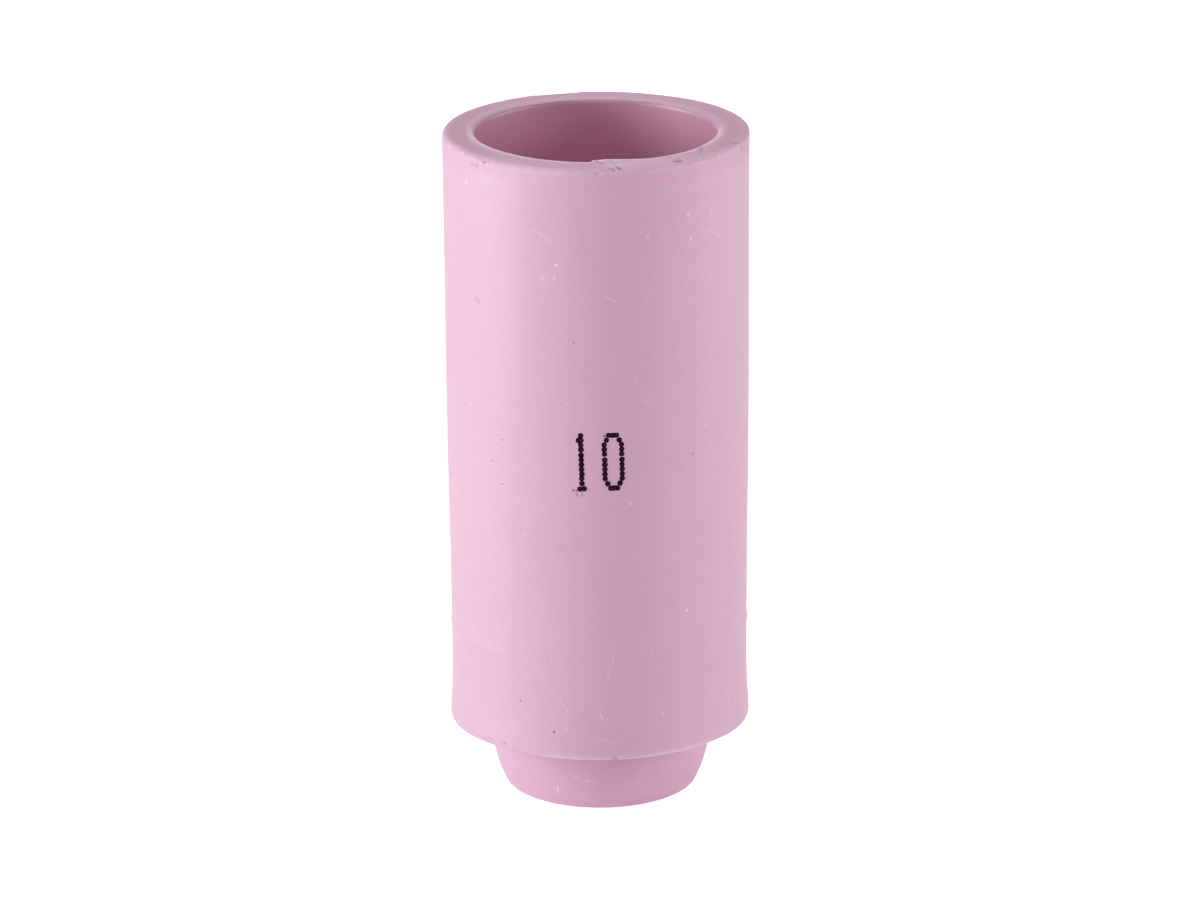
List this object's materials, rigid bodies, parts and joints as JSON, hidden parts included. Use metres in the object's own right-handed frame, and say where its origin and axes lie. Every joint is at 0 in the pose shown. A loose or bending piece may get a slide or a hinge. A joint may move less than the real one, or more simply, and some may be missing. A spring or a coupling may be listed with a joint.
{
  "type": "tig torch gas nozzle",
  "caption": "Ceramic gas nozzle of a TIG torch: straight tube with a wide open outlet, a flat rim, a shouldered foot and a crowned seating boss with a threaded bore at the torch end.",
  "frame": {"origin": "centre of the torch-end face, which the nozzle stands on", "axes": "+Z along the nozzle's axis from the torch end to the gas outlet; -Y is the side that carries the size number; +X to the right of it"},
  "size_m": [0.021, 0.021, 0.047],
  "materials": {
    "alumina": "matte",
    "size_ink": "matte"
  },
  "bodies": {
    "root": {"gas_nozzle": "alumina"}
  },
  "joints": []
}
